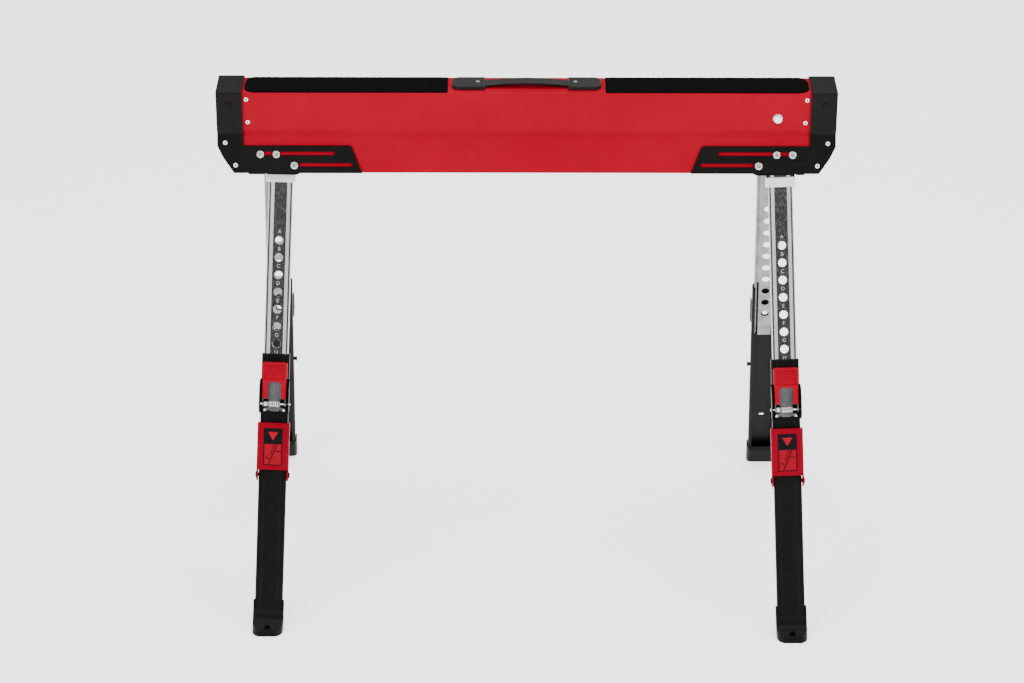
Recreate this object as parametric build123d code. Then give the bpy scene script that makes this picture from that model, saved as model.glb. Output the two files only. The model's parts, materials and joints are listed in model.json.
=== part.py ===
from build123d import *
import os
from math import cos, radians, sin, tan

# Folding sawhorse. Millimetres, +Z up, X along the beam, the front looks to -Y.
# The origin is on the floor under the middle of the beam. The beam and the legs
# repeat themselves when they are turned half a turn about Z; only the front legs
# carry a bracket for timber.

# ---- driving dimensions: beam ----
beam_height = 820.0
beam_length = 965.0
cap_length = 40.5
channel_half_length = 470.0
channel_half_width = 33.5
sheet = 2.0
cap_sheet = 2.2
cap_gap = 0.3
skirt_bottom = 691.0
wall_bottom = 757.5
groove_height = 748.5
bend_radius = 1.6
pad_thickness = 2.0

# ---- driving dimensions: legs ----
splay = 20.8
lean = 2.0
pivot_x = 362.5
axis_y = 30.7
axis_z = 695.25
skirt_offset = 18.07
lane_step = 8.5
inner_lane_shift = 22.0
outer_lane_shift = 34.5
leg_pitch = 27.3
first_hole = 123.3
hole_count = 10
hole_diameter = 13.0
inner_leg_end = 421.0
outer_leg_top = 303.0
outer_leg_end = 738.0
outer_width = 44.0
outer_depth = 13.0
inner_width = 38.5
inner_sheet = 1.5
bead_face = 3.1
web_recess = 2.0

# ---- driving dimensions: latch and support bracket ----
latch_pin_s = 381.3
latch_pin_w = 9.0
latch_pin_radius = 1.25
plunger_s = first_hole + (hole_count - 1) * leg_pitch
plunger_radius = 5.0
running_fit = 0.06
support_pivot_s = 496.3
support_pivot_w = -4.0
support_half_width = 25.3
support_sheet = 2.5

# ---- driving dimensions: fasteners ----
stop_bolt_places = ((53.0, 17.5), (28.0, 17.5))
stop_plate_y = -16.0
pivot_plate_y = -15.4
bracket_thickness = 3.0
leg_bolt_radius = 3.0
leg_bolt_across = 10.0
brace_bolt_radius = 4.0
brace_bolt_across = 13.0
flange_share = 0.62
bolt_head = 4.5
nut_height = 5.5
rivet_head_radius = 3.7
rivet_head_height = 1.5
rivet_shank_radius = 1.6
handle_screw_x = 76.0
handle_end_height = 6.5
strap_room = (1.8, 4.8)
foot_hole_radius = 3.5
foot_hole_y = -10.5
foot_hole_z = -748.0
foot_seat_radius = 5.2
foot_seat_height = 6.0

cap_top = beam_height
channel_path_offset = cap_sheet / 2 + cap_gap + sheet / 2
channel_top = cap_top - cap_sheet - cap_gap
half_length = beam_length / 2
cap_inner_end = half_length - cap_length
slope = tan(radians(splay))
far = 1200.0


def box(x0, x1, y0, y1, z0, z1):
    """Box between the given limits."""
    centre = Pos((x0 + x1) / 2, (y0 + y1) / 2, (z0 + z1) / 2)
    return centre * Box(x1 - x0, y1 - y0, z1 - z0)


def along_x(radius, x0, x1, y=0.0, z=0.0):
    """Round bar that runs along X."""
    return Pos((x0 + x1) / 2, y, z) * Rot(Y=90) * Cylinder(radius, x1 - x0)


def along_y(radius, y0, y1, x=0.0, z=0.0):
    """Round bar that runs along Y."""
    return Pos(x, (y0 + y1) / 2, z) * Rot(X=90) * Cylinder(radius, y1 - y0)


def bent_sheet(points, thickness, radius, length):
    """Sheet metal bent along a path in plan and extruded up by a length."""
    wire = FilletPolyline(*points, radius=radius)
    return extrude(trace(wire, thickness), length)


def plate_outline(points, y0, y1, radius=0.0):
    """Plate with an outline in X and Z, between two Y faces."""
    face = make_face(Polyline(*points, close=True))
    if radius:
        face = fillet(face.vertices(), radius)
    solid = extrude(Plane.XZ * face, y0 - y1)
    return Pos(0, y0, 0) * solid


def slot_cutter(x0, x1, z0, z1, y0, y1):
    """Long hole with round ends that runs along X."""
    radius = (z1 - z0) / 2
    z = (z0 + z1) / 2
    bar = box(x0 + radius, x1 - radius, y0, y1, z0, z1)
    return bar + along_y(radius, y0, y1, x0 + radius, z) + along_y(radius, y0, y1, x1 - radius, z)


def half_turn(solid):
    """The same piece on the other side of the sawhorse."""
    return Rot(Z=180) * solid


# ---- places of the legs ----
def skirt_frame(side):
    """Frame on the pivot axis of a front leg, with Y square to the skirt and pointing in."""
    return Pos(side * pivot_x, -axis_y, axis_z) * Rot(X=-splay)


def is_outer(side):
    """The right-hand leg on each side of the beam runs in the outer lane."""
    return side > 0


def lane(side):
    """How far a leg stands out, measured level with the floor."""
    return lane_step if is_outer(side) else -lane_step


def centre_shift(side):
    """How far the leg's centre line lies outboard of its pivot."""
    return outer_lane_shift if is_outer(side) else inner_lane_shift


def leg_frame(side):
    """Frame on a leg's outer face: X across, -Y out, -Z down along the leg."""
    lane_frame = Pos(0, -lane(side), 0) * skirt_frame(side)
    return lane_frame * Rot(Y=-side * lean) * Pos(side * centre_shift(side), 0, 0)


# ---- beam ----
def skirt_half_width(height, depth):
    """Half width at a height of the plane that lies this far outside the legs' plane."""
    return axis_y + depth / cos(radians(splay)) + (axis_z - height) * slope


def beam_path(offset):
    """Middle line of the beam's sheet in section, pushed out by an offset."""
    mid = sheet / 2
    wall = channel_half_width - mid + offset
    top = channel_top - mid + offset
    depth = skirt_offset - mid + offset
    groove = skirt_half_width(groove_height, depth)
    bottom = skirt_half_width(skirt_bottom, depth)
    right = [
        (wall, top),
        (wall, wall_bottom),
        (groove, groove_height),
        (bottom, skirt_bottom),
    ]
    left = [(-y, z) for y, z in reversed(right)]
    return left + right


def beam_sheet(offset, thickness, x0, x1):
    """The folded section of the beam between two X places."""
    wire = FilletPolyline(*beam_path(offset), radius=bend_radius)
    section = extrude(trace(wire, thickness), x1 - x0)
    return Pos(x0, 0, 0) * Rot(Z=90) * Rot(X=90) * section


def end_outline(y0, y1):
    """Side view of the beam with its bottom corners cut back, as a thick slab."""
    cut_top = 731.0
    cut_mid = 714.0
    points = [
        (-half_length, cap_top + 5),
        (-half_length, cut_top),
        (-half_length + 9, cut_mid),
        (-half_length + 30, skirt_bottom - 5),
        (half_length - 30, skirt_bottom - 5),
        (half_length - 9, cut_mid),
        (half_length, cut_top),
        (half_length, cap_top + 5),
    ]
    return plate_outline(points, y0, y1)


def beam_channel():
    """Red folded channel: flat top, upright walls, a groove and a flared skirt."""
    channel = beam_sheet(0, sheet, -channel_half_length, channel_half_length)
    return channel & end_outline(-80, 80)


def corner_plate_outline(y0, y1):
    """Front view of an end cap that runs on into a slotted corner plate."""
    top = 731.0
    outline = [
        (cap_inner_end, cap_top + 5),
        (cap_inner_end, top),
        (273.5, top),
        (254.5, skirt_bottom - 5),
        (half_length, skirt_bottom - 5),
        (half_length, cap_top + 5),
    ]
    plate = plate_outline(outline, y0, y1)
    round_corner = plate.edges().filter_by(Axis.Y).filter_by_position(Axis.X, 270, 277)
    plate = fillet(round_corner, 7)
    plate -= slot_cutter(299.0, 412.0, 716.9, 722.8, y0 - 1, y1 + 1)
    plate -= slot_cutter(271.0, 355.0, 700.4, 706.2, y0 - 1, y1 + 1)
    return plate


def end_cap():
    """Black end cap with a corner plate on the front and on the rear, for the +X end."""
    shell = beam_sheet(channel_path_offset, cap_sheet, 250, half_length)
    shell &= corner_plate_outline(-80, 80)
    profile = make_face(FilletPolyline(
        *beam_path(channel_path_offset), radius=bend_radius, close=True))
    wall = extrude(profile, 2.5)
    wall = Pos(half_length - 2.5, 0, 0) * Rot(Z=90) * Rot(X=90) * wall
    return (shell + wall) & end_outline(-80, 80)


def grip_pad():
    """Gritty pad on the +X half of the beam's top, with round outer corners."""
    pad = box(122.7, 439.5, -31.0, 31.0, channel_top, channel_top + pad_thickness)
    return fillet(pad.edges().filter_by(Axis.Z).group_by(Axis.X)[-1], 19)


def handle_ends():
    """Two black end pieces that hold the carry strap."""
    ends = []
    for side in (-1, 1):
        body = box(65.0, 115.8, -19.5, 19.5, channel_top, channel_top + handle_end_height)
        body = fillet(body.edges().filter_by(Axis.Z).sort_by(Axis.X)[-2:], 12)
        body = fillet(body.edges().group_by(Axis.Z)[-1], 1.5)
        low, high = strap_room
        body -= box(60, 84, -11.3, 11.3, channel_top + low, channel_top + high)
        ends.append(Rot(Z=0 if side > 0 else 180) * body)
    return Part() + ends


def handle_strap():
    """Arched carry strap between the two end pieces."""
    level = channel_top + sum(strap_room) / 2
    crown = level + 4.5
    middle = Polyline((-82, level), (-65, level))
    middle += ThreePointArc((-65, level), (0, crown), (65, level))
    middle += Polyline((65, level), (82, level))
    return extrude(Plane.XZ * trace(middle, 2.6), 11, both=True)


# ---- fasteners of the beam ----
def rivet(x, z, face):
    """Blind rivet along Y with its head on a face that looks to -Y."""
    head = along_y(rivet_head_radius, -face - rivet_head_height, -face, x, z)
    return head + along_y(rivet_shank_radius, -face, -face + 4.8, x, z)


def panel_rivets():
    """Small zinc rivets of both sides and the two screws of the carry handle."""
    cap_face = skirt_offset + cap_gap + cap_sheet
    front = []
    screws = []
    for side in (-1, 1):
        front.append(rivet(side * 435.5, 807, channel_half_width))
        front.append(rivet(side * 434.0, 769, channel_half_width))
        front.append(skirt_frame(side) * rivet(side * 107.5, 35.5, cap_face))
        front.append(skirt_frame(side) * rivet(side * 91.5, 0.5, cap_face))
        head = Pos(side * handle_screw_x, 0, channel_top + handle_end_height + 0.6) * Cylinder(3.6, 1.2)
        shank = Pos(side * handle_screw_x, 0, channel_top + 2) * Cylinder(2.0, 10)
        screws.append(head + shank)
    rear = [half_turn(piece) for piece in front]
    return Part() + front + rear + screws


def cap_bolts():
    """Black button bolts high on the sides of the end caps."""
    face = channel_half_width + cap_gap + cap_sheet
    front = []
    for side in (-1, 1):
        head = along_y(3.5, -face - 1.8, -face, side * 464.0, 800)
        shank = along_y(2.0, -face, -face + 9, side * 464.0, 800)
        front.append(fillet(head.edges().group_by(Axis.Y)[0], 1.2) + shank)
    return Part() + front + [half_turn(bolt) for bolt in front]


def hex_bolt(head_y, nut_y, radius, across, x, z):
    """Flanged hex bolt along Y with its nut: the head seats at one face, the nut at the other."""
    hexagon = Plane.XZ * RegularPolygon(across / 2, 6, major_radius=False)
    flange = along_y(across * flange_share, head_y - 1.2, head_y, x, z)
    head = Pos(x, head_y, z) * extrude(hexagon, bolt_head)
    shank = along_y(radius, head_y, nut_y + nut_height + 1.5, x, z)
    nut = Pos(x, nut_y, z) * extrude(hexagon, -nut_height)
    return flange + head + shank + nut


def leg_bolts(side):
    """The pivot bolt and the two stop bolts at a front leg, with their nuts."""
    cap_face = -(skirt_offset + cap_gap + cap_sheet)
    pivot_nut = pivot_plate_y + bracket_thickness + running_fit
    pieces = [hex_bolt(cap_face, pivot_nut, leg_bolt_radius, leg_bolt_across, 0, 0)]
    stop_nut = stop_plate_y + bracket_thickness
    for outboard, up in stop_bolt_places:
        bolt = hex_bolt(cap_face, stop_nut, leg_bolt_radius, leg_bolt_across, side * outboard, up)
        pieces.append(bolt)
    return [skirt_frame(side) * piece for piece in pieces]


def brace_bolt():
    """Larger flange bolt high on the right of the front wall, with its nut."""
    face = -channel_half_width
    return hex_bolt(face, face + sheet, brace_bolt_radius, brace_bolt_across, 390.8, 776)


def flange_bolts():
    """All zinc flange bolts of the beam with their nuts."""
    front = leg_bolts(-1) + leg_bolts(1) + [brace_bolt()]
    return Part() + front + [half_turn(bolt) for bolt in front]


def leg_stop(side):
    """Bracket inside the skirt that a leg's root rests against when the leg is open."""
    face = centre_shift(side) + outer_width / 2 + 2.6
    thickness = bracket_thickness
    foot = -14.0
    outline = [
        (side * 21, 11.5),
        (side * 21, 27),
        (side * 72, 27),
        (side * 72, foot),
        (side * face, foot),
        (side * face, 11.5),
    ]
    plate = plate_outline(outline, stop_plate_y, stop_plate_y + thickness)
    lip = box(min(side * face, side * (face + 3)), max(side * face, side * (face + 3)),
              stop_plate_y, 8.0, foot, 8.0)
    return skirt_frame(side) * (plate + lip)


# ---- legs ----
def root_bracket(side):
    """Black bracket on the head of a leg: a round lug at the pivot and two side cheeks."""
    to_lane = leg_frame(side).inverse() * skirt_frame(side)
    thickness = bracket_thickness
    x = side * centre_shift(side)
    head = Pos(x, -7) * Rectangle(outer_width, 14)
    lug = Circle(15)
    plate = extrude(Plane.XZ * make_hull((lug + head).edges()), -thickness)
    plate = Pos(0, pivot_plate_y, 0) * plate
    plate -= along_y(leg_bolt_radius + running_fit, -30, 30)
    plate = to_lane * plate
    depth = pivot_plate_y + thickness + lane(side) * cos(radians(splay))
    cheeks = []
    for edge in (-1, 1):
        inner = edge * (inner_width / 2 + 0.3)
        outer = edge * outer_width / 2
        low, high = sorted((inner, outer))
        cheeks.append(box(low, high, depth, 11.0, -15.5, 1.0))
    nut_room = to_lane * along_y(7.5, pivot_plate_y + thickness, -3.0)
    return plate + (Part() + cheeks - nut_room)


def collar():
    """Silver collar round the head of the bright inner leg."""
    ring = box(-23.4, 23.4, -3.0, 13.0, -31.0, -16.2)
    ring = fillet(ring.edges().filter_by(Axis.Z), 2.5)
    return ring - box(-19.35, 19.35, bead_face - 0.1, 10.9, -40, 0)


def inner_leg():
    """Bright inner channel with a sunk web and ten adjustment holes."""
    side_x = inner_width / 2 - inner_sheet / 2
    web = bead_face + inner_sheet / 2
    path = [
        (-side_x, 10.6),
        (-side_x, web),
        (-15.2, web),
        (-10.2, web + web_recess),
        (10.2, web + web_recess),
        (15.2, web),
        (side_x, web),
        (side_x, 10.6),
    ]
    channel = Pos(0, 0, -inner_leg_end) * bent_sheet(path, inner_sheet, 1.0, inner_leg_end - 1)
    for index in range(hole_count):
        place = -(first_hole + index * leg_pitch)
        channel -= along_y(hole_diameter / 2, 0, 20, 0, place)
    return channel


def outer_leg(rear):
    """Black outer channel with a raised middle band and return lips; rear ones have a slot."""
    side_x = outer_width / 2 - sheet / 2
    band = sheet / 2
    low = band + 0.8
    lip = outer_depth - sheet / 2
    path = [
        (-side_x + 4.5, lip),
        (-side_x, lip),
        (-side_x, low),
        (-13.7, low),
        (-12.2, band),
        (12.2, band),
        (13.7, low),
        (side_x, low),
        (side_x, lip),
        (side_x - 4.5, lip),
    ]
    length = outer_leg_end - outer_leg_top
    channel = Pos(0, 0, -outer_leg_end) * bent_sheet(path, sheet, 1.3, length)
    channel -= along_y(plunger_radius + running_fit, -5, 8, 0, -plunger_s)
    if rear:
        channel -= slot_cutter(-4.5, 4.5, -632.0, -626.0, -5, 8)
    return channel - leg_pins(rear)


def foot_body():
    """Boot on the end of the outer leg with side ears and a dished toe, before it is cut level."""
    half = 24.3
    plan = box(-half, half, -21, 16, -790, -690)
    plan = fillet(plan.edges().filter_by(Axis.Z).group_by(Axis.Y)[0], 16)
    plan = fillet(plan.edges().filter_by(Axis.Z).group_by(Axis.Y)[-1], 8)
    profile = [
        (16, -710),
        (13, -701),
        (6, -697),
        (0, -697),
        (0, -711),
        (-2.2, -713),
        (-2.2, -727),
        (-20, -743),
        (-21, -790),
        (16, -790),
    ]
    face = make_face(Polyline(*profile, close=True))
    wedge = extrude(Plane.YZ * face, half + 5, both=True)
    pocket = box(-22.05, 22.05, -0.05, 13.05, -738.2, -600)
    rim = 2.4
    dish_plan = box(-half + rim, half - rim, -21 + rim, 0, -790, -690)
    dish_plan = fillet(dish_plan.edges().filter_by(Axis.Z).group_by(Axis.Y)[0], 16 - rim)
    dish_profile = [(0, -690), (0, -712), (-2.2, -720), (-9, -735), (-14, -742), (-30, -749), (-30, -690)]
    dish_face = make_face(Polyline(*dish_profile, close=True))
    dish = dish_plan & extrude(Plane.YZ * dish_face, half, both=True)
    return (plan & wedge) - pocket - dish


def foot(side):
    """Foot with a level sole and an upright screw hole in its tab."""
    placed = leg_frame(side) * foot_body()
    floor = box(-far, far, -far, far, 0, far)
    placed &= floor
    toe = (leg_frame(side) * Pos(0, foot_hole_y, foot_hole_z)).position
    hole = Pos(toe.X, toe.Y, 0) * Cylinder(foot_hole_radius, 120)
    seat = Pos(toe.X, toe.Y, foot_seat_height + 30) * Cylinder(foot_seat_radius, 60)
    return placed - hole - seat


def leg_pins(rear):
    """Cross pin of the latch, side pivot pins and rivets, and a screw on the front legs."""
    pieces = [along_x(latch_pin_radius, -24.5, 25.8, -latch_pin_w, -latch_pin_s)]
    for edge in (-1, 1):
        shank = along_x(3.0, *sorted((edge * 20.2, edge * 25.6)), -support_pivot_w, -support_pivot_s)
        head = along_x(5.0, *sorted((edge * 25.6, edge * 27.4)), -support_pivot_w, -support_pivot_s)
        pieces.append(shank + head)
        rivet_head = along_y(2.2, -2.6, -1.6, edge * 15.4, -392.0)
        pieces.append(rivet_head + along_y(1.5, -1.6, 2.6, edge * 15.4, -392.0))
    if not rear:
        pieces.append(along_y(3.6, -1.6, 0.0, 0, -644.0) + along_y(2.0, 0.0, 2.0, 0, -644.0))
    return Part() + pieces


def latch_bracket():
    """Black U bracket that carries the latch lever."""
    path = [(-22.8, -17.0), (-22.8, -0.85), (22.8, -0.85), (22.8, -17.0)]
    bracket = Pos(0, 0, -396.5) * bent_sheet(path, 1.5, 1.2, 55.0)
    ear = [(0.5, -342), (-10, -346), (-17.5, -358), (-17.5, -388), (-9, -396.5), (0.5, -396.5)]
    side_view = extrude(Plane.YZ * make_face(Polyline(*ear, close=True)), 30, both=True)
    bracket &= side_view
    bracket -= along_y(plunger_radius + running_fit, -5, 8, 0, -plunger_s)
    return bracket - leg_pins(True)


def latch_lever():
    """Red latch lever with a raised rim, finger ribs and a round-topped window."""
    body = box(-18.9, 18.9, -15.0, -5.6, -372.5, -315.0)
    body += box(-19.9, 19.9, -15.0, -5.6, -340.5, -315.0)
    body = fillet(body.edges().filter_by(Axis.Y).group_by(Axis.Z)[-1], 4)
    body = fillet(body.edges().group_by(Axis.Y)[0], 1.5)
    body -= box(-15.2, 15.2, -20, -13.6, -342.0, -318.5)
    ribs = [along_x(0.9, -11, 11, -13.6, -z) for z in (322.5, 326.5, 330.5, 334.5)]
    window = box(-10.8, 10.8, -20, 0, -380, -351.0)
    window += along_y(5.0, -20, 0, -5.8, -351.0) + along_y(5.0, -20, 0, 5.8, -351.0)
    window += box(-5.8, 5.8, -20, 0, -352, -346.0)
    return (body - window) + ribs


def latch_plate():
    """Grey steel plate under the lever that turns on the cross pin."""
    plate = box(-18.4, 18.4, -5.5, -4.0, -374.0, -322.0)
    plate += box(-9.5, 9.5, -5.5, -4.0, -latch_pin_s, -373.0)
    plate += along_x(5.0, -9.5, 9.5, -latch_pin_w, -latch_pin_s)
    for edge in (-1, 1):
        low, high = sorted((edge * 16.9, edge * 18.4))
        plate += box(low, high, -13.0, -4.0, -latch_pin_s, -372.7)
        plate += along_x(4.0, low, high, -latch_pin_w, -latch_pin_s)
    return plate - along_x(latch_pin_radius + running_fit, -30, 30, -latch_pin_w, -latch_pin_s)


def latch_plunger():
    """Plunger that runs square to the leg, from the latch plate to the sunk web."""
    tail = -3.8
    nose = bead_face + web_recess - 0.3
    shank = along_y(plunger_radius, tail, nose, 0, -plunger_s)
    return fillet(shank.edges().group_by(Axis.Y)[-1], 1.0)


def latch_spring():
    """Return spring wound round the cross pin."""
    coil_radius = 4.0
    wire = 0.6
    helix = Helix(1.7, 5.1, coil_radius)
    profile = Plane(origin=helix @ 0, z_dir=helix % 0) * Circle(wire)
    coil = sweep(profile, helix)
    return Pos(-16.0, -latch_pin_w, -latch_pin_s) * Rot(Y=90) * coil


def support_bracket():
    """Red U bracket that swings out on its lower ears and cradles a length of timber."""
    half = support_half_width - support_sheet / 2
    face = -4.0 - support_sheet / 2
    path = [(-half, 6.5), (-half, face), (half, face), (half, 6.5)]
    body = Pos(0, 0, -507.4) * bent_sheet(path, support_sheet, 2.0, 95.4)
    body -= box(-30, 30, -20, -3.9, -520, -487.0)
    side_view = box(-30, 30, -7, 7, -support_pivot_s, -410)
    side_view += along_x(9.5, -30, 30, -support_pivot_w, -support_pivot_s)
    body &= side_view
    body -= along_x(3.0 + running_fit, -30, 30, -support_pivot_w, -support_pivot_s)
    for s in (437.0, 461.0):
        body -= along_x(2.2, -30, 30, -1.0, -s)
    return body


def write(node, solid):
    """Write one piece to its own STEP file."""
    export_step(solid, f"parts/{node}.step")


def leg_name(side, rear):
    """Name of a leg; a leg turned to the rear swaps left and right."""
    left = (side < 0) != rear
    return ("rear_" if rear else "front_") + ("left" if left else "right")


def main():
    os.makedirs("parts", exist_ok=True)

    rivets = panel_rivets()
    bolts = flange_bolts()
    black_bolts = cap_bolts()
    fixings = rivets + bolts + black_bolts
    cap = end_cap()
    write("beam_channel", beam_channel() - fixings)
    write("end_cap_right", cap - fixings)
    write("end_cap_left", half_turn(cap) - fixings)
    write("grip_pad_right", grip_pad())
    write("grip_pad_left", half_turn(grip_pad()))
    write("handle_strap", handle_strap() - rivets)
    write("handle_ends", handle_ends() - rivets)
    write("panel_rivets", rivets)
    write("flange_bolts", bolts)
    write("cap_bolts", black_bolts)
    stops = [leg_stop(-1), leg_stop(1)]
    stops += [half_turn(stop) for stop in stops]
    write("leg_stops", Part() + stops - bolts)

    common = {
        "leg_collar": collar(),
        "inner_leg": inner_leg(),
        "latch_bracket": latch_bracket(),
        "latch_lever": latch_lever(),
        "latch_plate": latch_plate(),
        "latch_plunger": latch_plunger(),
        "latch_spring": latch_spring(),
    }
    for rear in (False, True):
        shared = dict(common, outer_leg=outer_leg(rear), leg_pins=leg_pins(rear))
        if not rear:
            shared["support_bracket"] = support_bracket()
        for side in (-1, 1):
            frame = leg_frame(side)
            pieces = {name: frame * solid for name, solid in shared.items()}
            pieces["root_bracket"] = frame * root_bracket(side)
            pieces["foot"] = foot(side)
            for name, solid in pieces.items():
                write(f"{name}_{leg_name(side, rear)}", half_turn(solid) if rear else solid)


main()
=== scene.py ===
import json
import math
import random

import bmesh
import bpy
from mathutils import Matrix, Vector


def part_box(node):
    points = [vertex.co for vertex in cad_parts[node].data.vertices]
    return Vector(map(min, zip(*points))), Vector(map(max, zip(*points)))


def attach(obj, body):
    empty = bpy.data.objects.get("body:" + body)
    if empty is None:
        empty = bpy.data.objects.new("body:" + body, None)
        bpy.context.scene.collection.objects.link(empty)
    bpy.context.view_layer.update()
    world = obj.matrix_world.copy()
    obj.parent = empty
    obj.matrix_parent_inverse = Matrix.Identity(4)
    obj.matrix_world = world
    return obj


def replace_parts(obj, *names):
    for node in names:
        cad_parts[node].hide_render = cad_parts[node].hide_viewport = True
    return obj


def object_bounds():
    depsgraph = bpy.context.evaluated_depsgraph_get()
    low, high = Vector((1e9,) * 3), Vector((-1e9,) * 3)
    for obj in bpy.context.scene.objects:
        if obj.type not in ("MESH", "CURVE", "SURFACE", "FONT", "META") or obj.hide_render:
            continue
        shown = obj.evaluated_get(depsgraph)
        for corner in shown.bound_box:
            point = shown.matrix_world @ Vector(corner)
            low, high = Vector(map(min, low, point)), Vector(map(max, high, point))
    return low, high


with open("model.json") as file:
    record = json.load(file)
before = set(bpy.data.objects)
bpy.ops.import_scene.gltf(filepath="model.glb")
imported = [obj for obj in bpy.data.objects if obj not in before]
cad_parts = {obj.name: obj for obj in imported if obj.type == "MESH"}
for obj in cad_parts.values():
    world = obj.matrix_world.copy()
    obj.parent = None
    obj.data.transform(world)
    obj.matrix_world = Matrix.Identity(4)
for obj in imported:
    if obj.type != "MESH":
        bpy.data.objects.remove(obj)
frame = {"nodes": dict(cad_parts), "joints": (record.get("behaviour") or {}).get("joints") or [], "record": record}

cad_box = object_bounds()
random.seed(7)
MM = 0.001
IMAGE_WIDTH = 1024
FOCAL_LENGTH = 3300                     # in pixels of the image
SENSOR = 36                             # mm
PIN_OUT, PIN_DOWN = 9.0, 381.3          # cross pin: out from the leg's face, down its length, mm
FIRST_HOLE, HOLE_PITCH = 123.3, 27.3    # adjustment holes, down the leg's length, mm
LETTER_RISE = 13.6                      # each letter above its hole, mm
WALL_FOOT = 750                         # the beam's wall ends and its skirt begins, mm
nodes = frame["nodes"]
joints = {joint["name"]: joint for joint in frame["joints"]}
LEGS = ("front_left", "front_right", "rear_left", "rear_right")


# ---------------------------------------------------------------- camera
def add_camera():
    """Camera at the viewing angle: place, aim and lens."""
    pitch, yaw, roll = (math.radians(a) for a in (26.845, -0.091, 0.06))
    ahead = Vector((math.sin(yaw) * math.cos(pitch), math.cos(yaw) * math.cos(pitch),
                    -math.sin(pitch)))
    level = Vector((math.cos(yaw), -math.sin(yaw), 0))
    upright = level.cross(ahead)
    right = level * math.cos(roll) + upright * math.sin(roll)
    up = upright * math.cos(roll) - level * math.sin(roll)
    data = bpy.data.cameras.new("camera")
    data.sensor_width = SENSOR
    data.lens = FOCAL_LENGTH / IMAGE_WIDTH * SENSOR
    data.clip_end = 100
    camera = bpy.data.objects.new("camera", data)
    bpy.context.scene.collection.objects.link(camera)
    turn = Matrix((right, up, -ahead)).transposed()
    camera.matrix_world = Matrix.Translation((-0.0148, -4.7696, 2.7841)) @ turn.to_4x4()
    bpy.context.scene.camera = camera


# ---------------------------------------------------------------- materials
def grey(level):
    return (level, level, level)


class Paint:
    """A material with a few short ways to add noise, colour and bump."""

    def __init__(self, name, roughness=0.5, metallic=0.0):
        self.material = bpy.data.materials.new(name)
        self.material.use_nodes = True
        self.tree = self.material.node_tree
        self.shader = self.tree.nodes["Principled BSDF"]
        self.shader.inputs["Roughness"].default_value = roughness
        self.shader.inputs["Metallic"].default_value = metallic
        self.place = self.tree.nodes.new("ShaderNodeTexCoord").outputs["Object"]
        self.normal = None

    def link(self, a, b):
        self.tree.links.new(a, b)

    def stretched(self, scale):
        """Object coordinates scaled apart along X, Y and Z."""
        node = self.tree.nodes.new("ShaderNodeMapping")
        node.inputs["Scale"].default_value = scale
        self.link(self.place, node.inputs["Vector"])
        return node.outputs["Vector"]

    def noise(self, scale, detail=3.0, stretch=None):
        node = self.tree.nodes.new("ShaderNodeTexNoise")
        node.inputs["Scale"].default_value = scale
        node.inputs["Detail"].default_value = detail
        self.link(self.stretched(stretch) if stretch else self.place, node.inputs["Vector"])
        return node.outputs["Fac"]

    def cells(self, scale):
        node = self.tree.nodes.new("ShaderNodeTexVoronoi")
        node.inputs["Scale"].default_value = scale
        self.link(self.place, node.inputs["Vector"])
        return node.outputs["Distance"]

    def ramp(self, value, stops):
        node = self.tree.nodes.new("ShaderNodeValToRGB")
        elements = node.color_ramp.elements
        while len(elements) < len(stops):
            elements.new(0.5)
        for element, (place, colour) in zip(elements, stops):
            element.position = place
            element.color = (*colour, 1)
        self.link(value, node.inputs["Fac"])
        return node.outputs["Color"]

    def colour(self, value, stops):
        self.link(self.ramp(value, stops), self.shader.inputs["Base Color"])

    def mixed_colour(self, value, under, over):
        """Lay one ramp over another where value is high."""
        node = self.tree.nodes.new("ShaderNodeMix")
        node.data_type = "RGBA"
        self.link(value, node.inputs["Factor"])
        self.link(under, node.inputs[6])
        self.link(over, node.inputs[7])
        self.link(node.outputs[2], self.shader.inputs["Base Color"])

    def rough(self, value, low, high):
        """Let roughness drift between two values."""
        node = self.tree.nodes.new("ShaderNodeMapRange")
        node.inputs["From Min"].default_value = 0.3
        node.inputs["From Max"].default_value = 0.7
        node.inputs["To Min"].default_value = low
        node.inputs["To Max"].default_value = high
        self.link(value, node.inputs["Value"])
        self.link(node.outputs["Result"], self.shader.inputs["Roughness"])

    def soft_edges(self, radius):
        node = self.tree.nodes.new("ShaderNodeBevel")
        node.samples = 4
        node.inputs["Radius"].default_value = radius
        self.normal = node.outputs["Normal"]
        self.link(self.normal, self.shader.inputs["Normal"])

    def bump(self, value, depth):
        node = self.tree.nodes.new("ShaderNodeBump")
        node.inputs["Distance"].default_value = depth
        node.inputs["Strength"].default_value = 1.0
        self.link(value, node.inputs["Height"])
        if self.normal:
            self.link(self.normal, node.inputs["Normal"])
        self.normal = node.outputs["Normal"]
        self.link(self.normal, self.shader.inputs["Normal"])

    def set(self, **values):
        for name, value in values.items():
            self.shader.inputs[name.replace("_", " ")].default_value = value


def powder_coat(name, low, high, roughness, peel):
    """Powder coat: slight colour drift, orange peel and soft edges."""
    paint = Paint(name)
    paint.colour(paint.noise(9.0, 5.0), [(0.3, low), (0.7, high)])
    paint.rough(paint.noise(60.0, 4.0), roughness - 0.04, roughness + 0.05)
    paint.soft_edges(0.0007)
    paint.bump(paint.noise(650.0, 2.0), peel)
    return paint


def metal(name, low, high, roughness, grain, stretch=None, depth=0.00002):
    """Bare or plated metal with a fine grain."""
    paint = Paint(name, metallic=1.0)
    paint.colour(paint.noise(35.0, 4.0), [(0.3, low), (0.7, high)])
    paint.rough(paint.noise(grain, 3.0, stretch), roughness - 0.05, roughness + 0.07)
    paint.soft_edges(0.0004)
    paint.bump(paint.noise(grain, 2.0, stretch), depth)
    return paint


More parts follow.
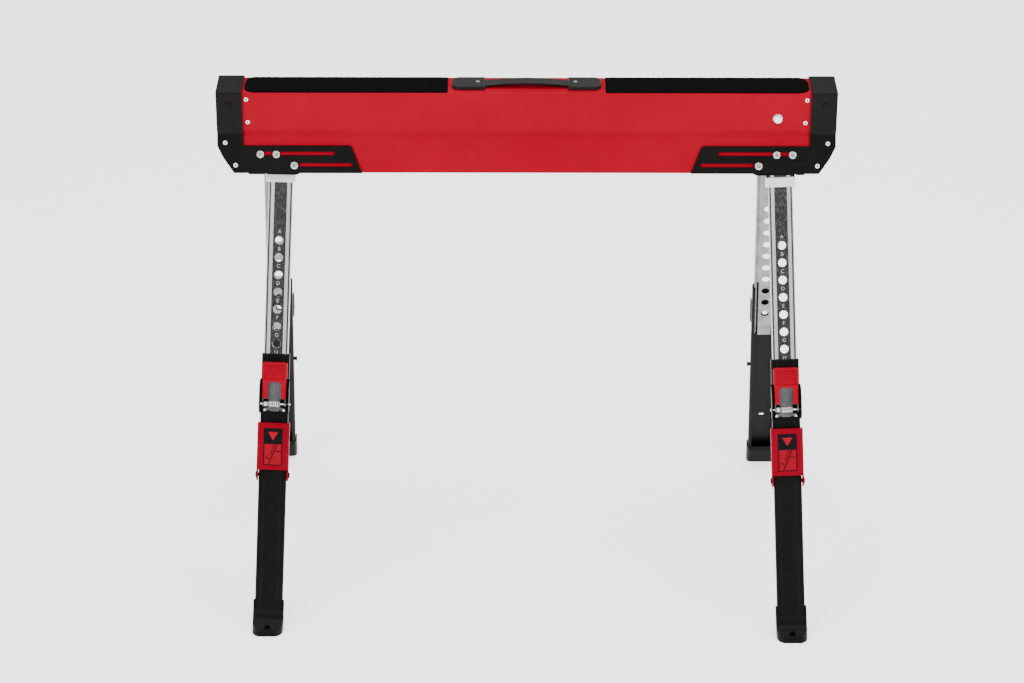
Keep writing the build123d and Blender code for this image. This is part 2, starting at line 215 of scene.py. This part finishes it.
def leg_steel(name, low, high, inward):
    """Bright channel steel: polished outside; the inside faces, picked by their object normal, get a darker grey
    base colour as painted shade.
    """
    paint = metal(name, low, high, 0.12, 90.0, (6, 6, 0.15), 0.000003)
    side = paint.tree.nodes.new("ShaderNodeSeparateXYZ")
    paint.link(paint.tree.nodes.new("ShaderNodeTexCoord").outputs["Normal"], side.inputs["Vector"])
    # mask of the inside faces by object normal, where the grey is darkened: painted shade
    inside_shade_mask = paint.tree.nodes.new("ShaderNodeMapRange")
    inside_shade_mask.inputs["From Min"].default_value = 0.15 * inward
    inside_shade_mask.inputs["From Max"].default_value = 0.45 * inward
    paint.link(side.outputs["Y"], inside_shade_mask.inputs["Value"])
    outside = paint.ramp(paint.noise(35.0, 4.0), [(0.3, low), (0.7, high)])
    # darker grey for the inside faces: painted shade
    inside = paint.ramp(paint.noise(60.0, 4.0), [(0.3, grey(0.17)), (0.7, grey(0.27))])
    paint.mixed_colour(inside_shade_mask.outputs["Result"], outside, inside)
    return paint


def grit(name):
    """Coarse non-slip grit: black grains, with a painted highlight on a few of them."""
    paint = Paint(name)
    under = paint.ramp(paint.noise(500.0, 3.0),
                       [(0.35, grey(0.0002)), (0.75, (0.0012, 0.0012, 0.0013))])
    # lighter grain colour for the few sparkling grains: painted highlight
    over = paint.ramp(paint.noise(1500.0, 2.0),
                      [(0.4, grey(0.0015)), (0.8, (0.012, 0.012, 0.013))])
    # mask of the few grains painted lighter: painted highlight
    painted_sparkle_mask = paint.ramp(paint.noise(900.0, 1.0), [(0.6, grey(0)), (0.68, grey(1))])
    paint.mixed_colour(painted_sparkle_mask, under, over)
    paint.rough(paint.noise(1100.0, 2.0), 0.45, 0.85)
    paint.bump(paint.cells(750.0), 0.0004)
    paint.bump(paint.noise(1600.0, 2.0), 0.0002)
    return paint


def moulded(name, low, high, roughness, texture):
    """Moulded rubber or plastic with a fine spark-eroded texture."""
    paint = Paint(name)
    paint.colour(paint.noise(25.0, 4.0), [(0.3, low), (0.7, high)])
    paint.rough(paint.noise(180.0, 3.0), roughness - 0.05, roughness + 0.08)
    paint.soft_edges(0.0005)
    paint.bump(paint.noise(texture, 2.0), 0.00005)
    return paint


def print_ink(name, low, high):
    """Printed film of the bracket's pictogram."""
    paint = Paint(name)
    paint.colour(paint.noise(120.0, 3.0), [(0.3, low), (0.7, high)])
    paint.rough(paint.noise(300.0, 2.0), 0.3, 0.42)
    paint.bump(paint.noise(900.0, 2.0), 0.00001)
    return paint


red = powder_coat("red_powder_coat", (0.25, 0.0006, 0.010), (0.285, 0.0009, 0.012),
                  0.36, 0.00003)
red.set(Specular_IOR_Level=0.02)
# Darker copy of the red powder coat for the support brackets, whose up-tilted faces catch more light: painted
# shade.
bracket_red_shaded = powder_coat("red_bracket_shaded_coat", (0.175, 0.0005, 0.008), (0.205, 0.0008, 0.010),
                          0.36, 0.00003)
bracket_red_shaded.set(Specular_IOR_Level=0.03)
black = powder_coat("black_powder_coat", (0.0032, 0.0031, 0.0025), (0.0050, 0.0048, 0.0040),
                    0.38, 0.00005)
black.set(Specular_IOR_Level=0.08)
# Front and rear copies of the bright steel; the rear copy is darker grey: painted shade on the far legs.
chrome = leg_steel("bright_steel_front", grey(0.60), grey(0.68), 1)
rear_chrome_shaded = leg_steel("bright_steel_rear_shaded", grey(0.54), grey(0.63), -1)
zinc = metal("zinc_plate", (0.86, 0.87, 0.90), (0.94, 0.94, 0.96), 0.24, 400.0)
collar_zinc = metal("collar_silver", grey(0.86), (0.93, 0.93, 0.92), 0.55, 500.0, None, 0.00003)
steel = metal("pressed_steel", (0.15, 0.155, 0.16), (0.22, 0.22, 0.23), 0.34, 300.0, (1, 1, 0.1))
# Dark steel for the rivet mandrels and for discs and rings in the fasteners' hollows: partly real mandrel, partly
# painted shade.
mandrel_and_shade_steel = metal("mandrel_and_painted_shade_steel", (0.035, 0.036, 0.045), (0.07, 0.07, 0.085), 0.34, 500.0)
grip = grit("grip_grit")
rubber = moulded("strap_rubber", grey(0.007), grey(0.011), 0.42, 900.0)
plastic = moulded("moulded_black", (0.010, 0.010, 0.0095), (0.014, 0.014, 0.0133), 0.48, 1300.0)
rubber.set(Specular_IOR_Level=0.16)
plastic.set(Specular_IOR_Level=0.12)
grip.set(Specular_IOR_Level=0.02)
ink_black = print_ink("pictogram_black", (0.002, 0.002, 0.003), (0.004, 0.004, 0.005))
ink_red = print_ink("pictogram_red", (0.28, 0.0008, 0.010), (0.31, 0.001, 0.012))
ink_dark_red = print_ink("pictogram_deep_red", (0.21, 0.0005, 0.008), (0.24, 0.0008, 0.010))
for ink in (ink_black, ink_red, ink_dark_red):
    ink.set(Specular_IOR_Level=0.12)
letter_grey = print_ink("letter_grey", grey(0.30), grey(0.40))

BY_SLOT = {
    "red_paint": red,
    "black_paint": black,
    "grip_surface": grip,
    "strap_rubber": rubber,
    "black_plastic": plastic,
    "zinc": zinc,
    "bright_steel": chrome,
    "plain_steel": steel,
}
# the support brackets take the darker red copy: painted shade
BY_NODE = {"leg_collar": collar_zinc, "support_bracket": bracket_red_shaded, "latch_plunger": zinc}


def dress_cad_nodes():
    """Give every CAD node its procedural material."""
    for part in frame["record"]["subparts"]:
        node = nodes[part["node"]]
        paint = BY_NODE.get(part["node"].rsplit("_", 2)[0]) or BY_SLOT[part["material_slot"]]
        # the rear inner legs take the darker copy: painted shade
        if part["node"].startswith("inner_leg_rear"):
            paint = rear_chrome_shaded
        for slot in node.material_slots:
            slot.material = paint.material


# ---------------------------------------------------------------- pieces
def piece(name, mesh, paint, body, smooth=True):
    """Put a finished mesh in the scene, paint it and let it ride."""
    obj = bpy.data.objects.new(name, mesh)
    bpy.context.scene.collection.objects.link(obj)
    mesh.materials.append(paint.material)
    if smooth:
        mesh.shade_smooth()
    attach(obj, body)
    return obj


def mesh_of(bm, name, sharp=None):
    """Finish a bmesh; edges sharper than the angle in degrees stay crisp."""
    bmesh.ops.remove_doubles(bm, verts=bm.verts, dist=1e-7)
    bmesh.ops.recalc_face_normals(bm, faces=bm.faces)
    mesh = bpy.data.meshes.new(name)
    bm.to_mesh(mesh)
    bm.free()
    mesh.shade_smooth()
    if sharp:
        mesh.set_sharp_from_angle(angle=math.radians(sharp))
    return mesh


def frame_from(x, y, z, origin):
    """Matrix whose columns are the three axes and the origin."""
    return Matrix((
        (x.x, y.x, z.x, origin.x),
        (x.y, y.y, z.y, origin.y),
        (x.z, y.z, z.z, origin.z),
        (0, 0, 0, 1),
    ))


def leg_frame(leg):
    """Frame on a leg's outer face: X across, -Y out, -Z down along the leg, in metres."""
    z = Vector(joints["height_" + leg]["axis"])
    x = -Vector(joints["release_" + leg]["axis"])
    y = z.cross(x)
    pin = Vector(joints["release_" + leg]["pos_m"])
    return frame_from(x, y, z, pin + y * PIN_OUT * MM + z * PIN_DOWN * MM)


def islands(node):
    """Vertices of each separate solid of a CAD node."""
    mesh = nodes[node].data
    key = [tuple(round(c, 6) for c in v.co) for v in mesh.vertices]
    parent = {k: k for k in key}

    def root(k):
        while parent[k] != k:
            parent[k] = parent[parent[k]]
            k = parent[k]
        return k

    for polygon in mesh.polygons:
        first = root(key[polygon.vertices[0]])
        for index in polygon.vertices[1:]:
            parent[root(key[index])] = first
    groups = {}
    for k in parent:
        groups.setdefault(root(k), []).append(Vector(k))
    return list(groups.values())


add_camera()
dress_cad_nodes()


# ---------------------------------------------------------------- beam details
def grip_pad_mesh(low, high, outer_sign):
    """Gritty pad with round outer corners; the grains are in the mesh."""
    half = (high.y - low.y) / 2
    corner = 19 * MM
    step = 1.25 * MM
    grain, rim_drop = 0.5 * MM, 0.15 * MM
    inner = low.x if outer_sign > 0 else high.x
    outer = high.x if outer_sign > 0 else low.x
    rows = int(2 * half / step)
    columns = int(abs(outer - inner) / step)
    bm = bmesh.new()
    grid = []
    for row in range(rows + 1):
        y = -half + 2 * half * row / rows
        over = max(0.0, abs(y) - (half - corner))
        pull = corner - math.sqrt(max(corner ** 2 - over ** 2, 0))
        reach = outer - outer_sign * pull
        line = []
        for column in range(columns + 1):
            x = inner + (reach - inner) * column / columns
            rim = row in (0, rows) or column in (0, columns)
            near_rim = row in (1, rows - 1) or column in (1, columns - 1)
            z = high.z - random.random() * grain
            if near_rim:
                z -= rim_drop
            if rim:
                z = low.z
            line.append(bm.verts.new((x, y, z)))
        grid.append(line)
    for row in range(rows):
        for column in range(columns):
            corners = (grid[row][column], grid[row][column + 1],
                       grid[row + 1][column + 1], grid[row + 1][column])
            bm.faces.new(corners)
    return mesh_of(bm, "grip_pad")


def add_grip_pads():
    """One gritty pad over each smooth CAD pad."""
    for node, sign in (("grip_pad_left", -1), ("grip_pad_right", 1)):
        low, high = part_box(node)
        mesh = grip_pad_mesh(low, high, sign)
        pad = piece(node + "_grit", mesh, grip, "beam")
        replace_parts(pad, node)


def millimetres(points):
    return [tuple(value * MM for value in point) for point in points]


def lathe(profile, sides=24):
    """Turned shape along +Z from (radius, height) points."""
    bm = bmesh.new()
    rings = []
    for radius, height in profile:
        if radius < 1e-9:
            rings.append([bm.verts.new((0, 0, height))] * sides)
            continue
        turn = [2 * math.pi * i / sides for i in range(sides)]
        rings.append([bm.verts.new((radius * math.cos(a), radius * math.sin(a), height))
                      for a in turn])
    for lower, upper in zip(rings, rings[1:]):
        for i in range(sides):
            j = (i + 1) % sides
            corners = []
            for v in (lower[i], lower[j], upper[j], upper[i]):
                if v not in corners:
                    corners.append(v)
            if len(corners) > 2:
                bm.faces.new(corners)
    return bm


def prism(bm, sides, radius, low, high, twist=0.0, chamfer=0.0):
    """Closed prism along Z with an optional chamfer at the top."""
    levels = [(radius, low), (radius, high - chamfer)]
    if chamfer:
        levels.append((radius - chamfer, high))
    rings = []
    for r, z in levels:
        turn = [2 * math.pi * i / sides + twist for i in range(sides)]
        rings.append([bm.verts.new((r * math.cos(a), r * math.sin(a), z)) for a in turn])
    for lower, upper in zip(rings, rings[1:]):
        for i in range(sides):
            j = (i + 1) % sides
            bm.faces.new((lower[i], lower[j], upper[j], upper[i]))
    bm.faces.new(rings[0][::-1])
    bm.faces.new(rings[-1])


def thread_rings(radius, low, high, pitch):
    """Lathe profile of a thread, drawn as close rings."""
    depth = 0.35 * MM
    profile = []
    z = low
    while z < high:
        profile.append((radius - depth, z))
        profile.append((radius, z + pitch / 2))
        z += pitch
    return profile


def bolt_mesh(head_radius, head_height, flat_radius, shank_radius, length, nut_height):
    """Flanged hex bolt along +Z with its nut: the head is above the seat at z = 0."""
    nut_top = nut_height + 1.5 * MM - length
    bm = lathe([(0, -length), (shank_radius - 0.6 * MM, -length)]
               + thread_rings(shank_radius, -length + 0.4 * MM, nut_top + 1.5 * MM, 1.0 * MM)
               + [(shank_radius, 0), (head_radius, 0), (head_radius, 0.5 * MM),
                  (head_radius * 0.97, 0.9 * MM), (flat_radius * 1.02, 1.5 * MM)])
    prism(bm, 6, flat_radius * 1.12, 1.2 * MM, head_height, 0.3, 0.7 * MM)
    cup = lathe([(flat_radius * 0.78, head_height + 0.02 * MM),
                 (flat_radius * 0.62, head_height - 0.3 * MM), (0, head_height - 0.3 * MM)])
    merge(bm, cup, Matrix.Identity(4))
    prism(bm, 6, flat_radius * 1.14, nut_top - nut_height, nut_top, 0.1)
    return bm


def merge(target, source, matrix):
    """Add one bmesh to another through a matrix, and free it."""
    mesh = bpy.data.meshes.new("part")
    source.to_mesh(mesh)
    source.free()
    mesh.transform(matrix)
    target.from_mesh(mesh)
    bpy.data.meshes.remove(mesh)


def outward(centre):
    """Outward axis of a fastener of the beam from its place: top, wall or flared skirt."""
    if abs(centre.y) < 10 * MM:
        return Vector((0, 0, 1))
    if centre.z > WALL_FOOT * MM:
        return Vector((0, math.copysign(1, centre.y), 0))
    leg = ("front" if centre.y < 0 else "rear") + ("_left" if centre.x < 0 else "_right")
    axis = Vector(joints["fold_" + leg]["axis"])
    return axis * math.copysign(1, axis.y * centre.y)


def seat_of(points, axis):
    """Middle of a fastener across its axis, and its reach along the axis."""
    depth = [p.dot(axis) for p in points]
    head = [p for p, d in zip(points, depth) if d > max(depth) - 0.2 * MM]
    middle = sum(head, Vector()) / len(head)
    return middle - axis * middle.dot(axis), min(depth), max(depth)


def rivet_mesh(radius, height, length, shank_radius):
    """Blind rivet along +Z: a dome with a pressed-in centre on a short shank."""
    return lathe([(0, -length), (shank_radius, -length), (shank_radius, 0), (radius, 0),
                  (radius, height * 0.25), (radius * 0.9, height * 0.62),
                  (radius * 0.66, height * 0.92), (radius * 0.46, height),
                  (radius * 0.40, height * 0.9), (radius * 0.34, height * 0.35),
                  (radius * 0.30, height * 0.3), (0, height * 0.42)], 28)


def axis_matrix(axis, place):
    """Matrix that turns +Z onto an axis and moves to a place."""
    turn = Vector((0, 0, 1)).rotation_difference(axis).to_matrix().to_4x4()
    return Matrix.Translation(place) @ turn


def add_fasteners():
    """Rivets, screws and bolts of the beam, each in its CAD fastener's place."""
    # Dark pieces: rivet centres (the mandrel, darkened further as painted shade), bolt-head cups and thin rings
    # round the hex bases (painted shade).
    mandrels_and_painted_shade = bmesh.new()
    rivets, screws = bmesh.new(), bmesh.new()
    for points in islands("panel_rivets"):
        centre = sum(points, Vector()) / len(points)
        axis = outward(centre)
        middle, deep, top = seat_of(points, axis)
        screw = axis.z > 0.9
        height = (1.2 if screw else 1.5) * MM
        radius = 3.6 * MM if screw else 3.7 * MM
        shank = 2.0 * MM if screw else 1.6 * MM
        seat = top - height
        part = rivet_mesh(radius, height * 1.15, seat - deep, shank)
        merge(screws if screw else rivets, part, axis_matrix(axis, middle + axis * seat))
        if screw:
            continue
        # dark disc in the rivet's pressed-in centre: the mandrel, with painted shade
        pit = lathe([(radius * 0.40, height * 0.86), (radius * 0.345, height * 0.45),
                     (radius * 0.2, height * 0.5), (0, height * 0.62)], 20)
        merge(mandrels_and_painted_shade, pit, axis_matrix(axis, middle + axis * seat))
    for name, bm, paint in (("panel_rivets_detailed", rivets, zinc),
                            ("handle_screws", screws, steel)):
        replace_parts(piece(name, mesh_of(bm, name, 35), paint, "beam"), "panel_rivets")

    bolts = bmesh.new()
    head_height, nut_height = 4.5 * MM, 5.5 * MM
    for points in islands("flange_bolts"):
        centre = sum(points, Vector()) / len(points)
        axis = outward(centre)
        middle, deep, top = seat_of(points, axis)
        large = centre.z > WALL_FOOT * MM
        across = (13.0 if large else 10.0) * MM
        flat = across * 0.47
        seat = top - head_height
        part = bolt_mesh(across * 0.62, head_height, flat, (4 if large else 3) * MM,
                         seat - deep, nut_height)
        merge(bolts, part, axis_matrix(axis, middle + axis * seat))
        # dark disc in the bolt head's cup: painted shade
        cup = lathe([(flat * 0.74, 4.35 * MM), (flat * 0.60, 4.26 * MM),
                     (flat * 0.3, 4.32 * MM), (0, 4.4 * MM)], 20)
        merge(mandrels_and_painted_shade, cup, axis_matrix(axis, middle + axis * seat))
        # thin dark ring round the hex base: painted shadow
        groove = lathe([(flat * 1.18, 1.42 * MM), (flat * 1.27, 1.36 * MM)], 30)
        merge(mandrels_and_painted_shade, groove, axis_matrix(axis, middle + axis * seat))
    piece("fastener_mandrels_and_painted_shade", mesh_of(mandrels_and_painted_shade, "mandrels_and_painted_shade"), mandrel_and_shade_steel, "beam")
    obj = piece("flange_bolts_detailed", mesh_of(bolts, "bolts", 30), zinc, "beam")
    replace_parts(obj, "flange_bolts")


def beads(bm, path, normals, width, height):
    """Low round-backed bead pressed along a path on a surface."""
    section = [(-0.5, -0.15), (-0.42, 0.35), (-0.22, 0.85), (0, 1.0),
               (0.22, 0.85), (0.42, 0.35), (0.5, -0.15)]
    rings = []
    for index, (point, normal) in enumerate(zip(path, normals)):
        along = path[min(index + 1, len(path) - 1)] - path[max(index - 1, 0)]
        across = normal.cross(along.normalized())
        end = 0.35 if index in (0, len(path) - 1) else 1.0
        rings.append([bm.verts.new(point + across * (a * width * end) + normal * (b * height * end))
                      for a, b in section])
    for near, beyond in zip(rings, rings[1:]):
        for i in range(len(section) - 1):
            bm.faces.new((near[i], near[i + 1], beyond[i + 1], beyond[i]))
        bm.faces.new((near[-1], near[0], beyond[0], beyond[-1]))
    bm.faces.new(rings[0][::-1])
    bm.faces.new(rings[-1])


STEP_TOP, STEP_FOOT = 757.5, 748.5      # the caps' step between wall and skirt, mm


def cap_surface(z):
    """An end cap's half depth in mm at a height in mm, and its face's lean in degrees."""
    wall, flare, step_lean = 36.0, 20.8, -21.0
    if z >= STEP_TOP:
        return wall, 0.0
    skirt = 52.7 + (695.25 - z) * math.tan(math.radians(flare))
    if z >= STEP_FOOT:
        return skirt + (wall - skirt) * (z - STEP_FOOT) / (STEP_TOP - STEP_FOOT), step_lean
    return skirt, flare


def add_cap_beads():
    """Pressed bead down each face of an end cap and along the foot of its corner plate."""
    corners = [(458.0, 803.0), (459.0, STEP_TOP), (459.5, STEP_FOOT),
               (438.6, 708.0), (425.0, 705.6), (383.0, 704.8)]
    bm = bmesh.new()
    for side in (-1, 1):
        for face in (-1, 1):
            path, normals = [], []
            for (x0, z0), (x1, z1) in zip(corners, corners[1:]):
                steps = max(2, int(math.hypot(x1 - x0, z1 - z0) / 4))
                for step in range(steps + (x1 == corners[-1][0])):
                    x = x0 + (x1 - x0) * step / steps
                    z = z0 + (z1 - z0) * step / steps
                    out, lean = cap_surface(z)
                    path.append(Vector((side * x, face * out, z)) * MM)
                    lean = math.radians(lean)
                    normals.append(Vector((0, face * math.cos(lean), math.sin(lean))))
            beads(bm, path, normals, 2.6 * MM, 0.7 * MM)
    piece("end_cap_beads", mesh_of(bm, "beads"), black, "beam")


def add_strap():
    """Arched carry strap with rounded edges and two fine grooves."""
    low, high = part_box("handle_strap")
    half_width = (high.y - low.y) / 2
    half = 1.3 * MM
    level, crown = low.z + half, high.z - half
    reach, flat = high.x, 65 * MM
    bend = (flat ** 2 + (crown - level) ** 2) / (2 * (crown - level))
    left = [(-1.0, 0.0), (-0.985, 0.5), (-0.94, 0.85), (-0.86, 1.0), (-0.76, 1.0),
            (-0.73, 0.72), (-0.70, 0.72), (-0.67, 1.0), (-0.3, 1.06)]
    top = left + [(-a, b) for a, b in reversed(left)]
    section = top + [(a, -min(b, 1.0)) for a, b in top[-2:0:-1]]
    bm = bmesh.new()
    rings = []
    count = 72
    for index in range(count + 1):
        x = -reach + 2 * reach * index / count
        inside = min(abs(x), flat)
        z = crown - bend + math.sqrt(bend ** 2 - inside ** 2)
        rings.append([bm.verts.new((x, a * half_width, z + b * half)) for a, b in section])
    for near, beyond in zip(rings, rings[1:]):
        for i in range(len(section)):
            j = (i + 1) % len(section)
            bm.faces.new((near[i], near[j], beyond[j], beyond[i]))
    bm.faces.new(rings[0][::-1])
    bm.faces.new(rings[-1])
    strap = piece("carry_strap", mesh_of(bm, "strap", 40), rubber, "beam")
    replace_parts(strap, "handle_strap")


add_grip_pads()
add_fasteners()
add_cap_beads()
add_strap()


# ---------------------------------------------------------------- leg details
def text_mesh(letter, size):
    """Mesh of one plain letter, centred."""
    curve = bpy.data.curves.new("letter", "FONT")
    curve.body = letter
    curve.size = size
    curve.align_x = "CENTER"
    curve.align_y = "CENTER"
    curve.extrude = 0.05 * MM
    obj = bpy.data.objects.new("letter", curve)
    bpy.context.scene.collection.objects.link(obj)
    mesh = bpy.data.meshes.new_from_object(obj)
    bpy.data.objects.remove(obj)
    return mesh


def add_letters():
    """Plain letters stamped above the holes of each bright inner leg."""
    for leg in LEGS:
        to_leg = leg_frame(leg)
        bm = bmesh.new()
        for index, letter in enumerate("ABCDEFGHIJ"):
            z = -(FIRST_HOLE - LETTER_RISE + HOLE_PITCH * index) * MM
            mesh = text_mesh(letter, 8.2 * MM)
            face_out = frame_from(Vector((1, 0, 0)), Vector((0, 0, 1)), Vector((0, -1, 0)),
                                  Vector((0, 5.05 * MM, z)))
            mesh.transform(to_leg @ face_out)
            bm.from_mesh(mesh)
            bpy.data.meshes.remove(mesh)
        piece("hole_letters_" + leg, mesh_of(bm, "letters", 30), letter_grey,
              "upper_leg_" + leg, False)


def flat_shape(bm, points, front, thickness):
    """Thin plate in the leg's face plane from (x, z) points in millimetres."""
    ring = [bm.verts.new((x * MM, -front * MM, z * MM)) for x, z in points]
    back = [bm.verts.new((x * MM, -(front - thickness) * MM, z * MM)) for x, z in points]
    bm.faces.new(ring)
    bm.faces.new(back[::-1])
    for i in range(len(ring)):
        j = (i + 1) % len(ring)
        bm.faces.new((ring[j], ring[i], back[i], back[j]))


def stroke(x0, z0, x1, z1, width):
    """Corners of a straight printed line."""
    along = Vector((x1 - x0, z1 - z0)).normalized()
    side = Vector((-along.y, along.x)) * width / 2
    a, b = Vector((x0, z0)), Vector((x1, z1))
    return [tuple(p) for p in (a - side, b - side, b + side, a + side)]


def add_pictograms():
    """Plain pictogram on each support bracket: a down arrow over a leaning leg."""
    half, top, split, bottom = 15.0, -420.5, -446.0, -480.0
    face, film, sunk = 6.5, 0.12, 0.02
    layers = (
        ("backing", ink_black, [[(-half, top), (half, top), (half, bottom), (-half, bottom)]]),
        ("arrow", ink_red, [[(-8.0, -426.5), (8.0, -426.5), (0, -440.0)]]),
        ("panel", ink_dark_red, [[(-13.4, split), (13.4, split), (13.4, -478.4), (-13.4, -478.4)]]),
        ("lines", ink_black, [stroke(-6.5, -478.0, 6.5, -446.4, 1.5),
                              stroke(-3.5, -462.5, 1.5, -446.4, 1.0),
                              stroke(2.6, -457.5, 12.6, -457.5, 1.2),
                              stroke(-12.0, -466.0, -5.2, -469.5, 1.2)]),
    )
    for leg in ("front_left", "front_right"):
        to_leg = leg_frame(leg)
        for level, (name, paint, shapes) in enumerate(layers, 1):
            bm = bmesh.new()
            for shape in shapes:
                flat_shape(bm, shape, face + film * level, film * level + sunk)
            mesh = mesh_of(bm, name, 30)
            mesh.transform(to_leg)
            piece(f"pictogram_{name}_{leg}", mesh, paint, "support_" + leg, False)


def place_on_leg(x, y, s, axis):
    """Matrix in the leg's frame from a place in millimetres and an outward axis."""
    return axis_matrix(Vector(axis), Vector((x, y, -s)) * MM)


def add_leg_fasteners():
    """Cross pin, pivot heads and small rivets of each lower leg, and the front legs' screw."""
    pin_profile = millimetres([(0, -25.6), (1.9, -25.4), (2.1, -24.8), (1.25, -24.6),
                               (1.25, 25.3), (0.9, 25.8), (0, 25.8)])
    pivot_profile = millimetres([(0, -6.2), (3.0, -6.2), (3.0, 0), (5.0, 0), (5.0, 0.5),
                                 (4.4, 1.2), (2.8, 1.7), (0, 1.8)])
    screw_profile = millimetres([(0, -2.0), (2.0, -2.0), (2.0, 0), (3.6, 0), (3.6, 0.4),
                                 (3.2, 1.1), (2.3, 1.5), (1.7, 1.6), (1.6, 0.5), (0, 0.4)])
    for leg in LEGS:
        to_leg = leg_frame(leg)
        bright, painted = bmesh.new(), bmesh.new()
        merge(bright, lathe(pin_profile, 16), place_on_leg(0, -PIN_OUT, PIN_DOWN, (1, 0, 0)))
        for edge in (-1, 1):
            rivet = rivet_mesh(2.2 * MM, 1.0 * MM, 3.0 * MM, 1.5 * MM)
            merge(bright, rivet, place_on_leg(edge * 15.4, -1.6, 392.0, (0, -1, 0)))
            merge(painted, lathe(pivot_profile),
                  place_on_leg(edge * 25.6, 4.0, 496.3, (edge, 0, 0)))
        if leg.startswith("front"):
            merge(painted, lathe(screw_profile), place_on_leg(0, 0, 644.0, (0, -1, 0)))
        for name, bm, paint, slot in (("latch_pin", bright, zinc, "zinc"),
                                      ("leg_pivots", painted, black, "black_paint")):
            mesh = mesh_of(bm, name, 40)
            mesh.transform(to_leg)
            obj = piece(f"{name}_{leg}", mesh, paint, "lower_leg_" + leg)
            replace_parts(obj, "leg_pins_" + leg)


def add_latch_details():
    """Torsion spring on the barrel of each latch plate, and the steel leaf under it."""
    for leg in LEGS:
        to_leg = leg_frame(leg)
        bm = bmesh.new()
        wire, coil = 0.55 * MM, 5.35 * MM
        turns, per_turn, sides = 5, 20, 6
        length = 15.0 * MM
        rings = []
        for index in range(turns * per_turn + 1):
            angle = 2 * math.pi * index / per_turn
            x = -length / 2 + length * index / (turns * per_turn)
            out = Vector((0, math.cos(angle), math.sin(angle)))
            middle = Vector((x, -PIN_OUT * MM, -PIN_DOWN * MM)) + out * coil
            ring = []
            for side in range(sides):
                turn = 2 * math.pi * side / sides
                ring.append(bm.verts.new(middle + out * (wire * math.cos(turn))
                                         + Vector((wire * math.sin(turn), 0, 0))))
            rings.append(ring)
        for near, beyond in zip(rings, rings[1:]):
            for i in range(sides):
                j = (i + 1) % sides
                bm.faces.new((near[i], near[j], beyond[j], beyond[i]))
        bm.faces.new(rings[0][::-1])
        bm.faces.new(rings[-1])
        mesh = mesh_of(bm, "coils")
        mesh.transform(to_leg)
        piece("latch_coils_" + leg, mesh, zinc, "lower_leg_" + leg)

        bm = bmesh.new()
        flat_shape(bm, [(-9.5, -375.0), (9.5, -375.0), (9.5, -391.0), (6.5, -394.0),
                        (-6.5, -394.0), (-9.5, -391.0)], 2.2, 0.5)
        for edge in (-1, 1):
            flat_shape(bm, [(edge * 9.5, -388.0), (edge * 16.5, -389.5),
                            (edge * 16.5, -394.5), (edge * 9.5, -393.0)], 1.95, 0.3)
        mesh = mesh_of(bm, "leaf", 30)
        mesh.transform(to_leg)
        piece("latch_leaf_" + leg, mesh, steel, "lower_leg_" + leg, False)


add_letters()
add_pictograms()
add_leg_fasteners()
add_latch_details()


# ---------------------------------------------------------------- stage
def add_light(name, place, target, size, energy):
    """Square soft light at a place, aimed at a target."""
    data = bpy.data.lights.new(name, "AREA")
    data.shape = "RECTANGLE"
    data.size = size
    data.size_y = size
    data.energy = energy
    light = bpy.data.objects.new(name, data)
    bpy.context.scene.collection.objects.link(light)
    aim = (Vector(target) - Vector(place)).to_track_quat("-Z", "Y").to_matrix().to_4x4()
    light.matrix_world = Matrix.Translation(place) @ aim


def add_floor():
    """Plain pale floor, just under the feet."""
    floor_size, gap = 60, 0.2 * MM
    paint = Paint("stage_floor", 0.9)
    paint.colour(paint.noise(0.8, 1.0), [(0.3, grey(0.86)), (0.7, grey(0.88))])
    paint.set(Emission_Color=(1, 1, 1, 1), Emission_Strength=1.2)
    bm = bmesh.new()
    bmesh.ops.create_grid(bm, x_segments=1, y_segments=1, size=floor_size)
    mesh = bpy.data.meshes.new("floor")
    bm.to_mesh(mesh)
    bm.free()
    floor = bpy.data.objects.new("floor", mesh)
    floor.location.z = cad_box[0][2] - gap
    mesh.materials.append(paint.material)
    bpy.context.scene.collection.objects.link(floor)


def add_world():
    """Pale world with a dark patch low in front and low behind, for the metal to reflect."""
    dark_side = (0, 0.99, 0.14)
    world = bpy.data.worlds.new("studio")
    world.use_nodes = True
    bpy.context.scene.world = world
    tree = world.node_tree
    sky = tree.nodes["Background"]
    place = tree.nodes.new("ShaderNodeTexCoord").outputs["Generated"]
    split = tree.nodes.new("ShaderNodeSeparateXYZ")
    tree.links.new(place, split.inputs["Vector"])
    away = tree.nodes.new("ShaderNodeMath")
    away.operation = "ABSOLUTE"
    tree.links.new(split.outputs["Y"], away.inputs[0])
    level = tree.nodes.new("ShaderNodeCombineXYZ")
    tree.links.new(away.outputs[0], level.inputs["Y"])
    tree.links.new(split.outputs["Z"], level.inputs["Z"])
    facing = tree.nodes.new("ShaderNodeVectorMath")
    facing.operation = "DOT_PRODUCT"
    facing.inputs[1].default_value = dark_side
    tree.links.new(level.outputs["Vector"], facing.inputs[0])
    ramp = tree.nodes.new("ShaderNodeValToRGB")
    elements = ramp.color_ramp.elements
    elements[0].position, elements[0].color = 0.935, (*grey(1), 1)
    elements[1].position, elements[1].color = 0.975, (*grey(0.05), 1)
    tree.links.new(facing.outputs["Value"], ramp.inputs["Fac"])
    tree.links.new(ramp.outputs["Color"], sky.inputs["Color"])
    sky.inputs["Strength"].default_value = 1.4


add_floor()
add_world()
add_light("key", (-2.2, -2.4, 3.2), (0, 0, 0.5), 2.2, 75)
add_light("fill", (2.6, -2.2, 2.6), (0, 0, 0.5), 2.2, 55)
add_light("top", (0, 0.4, 3.6), (0, 0, 0.6), 3.0, 80)
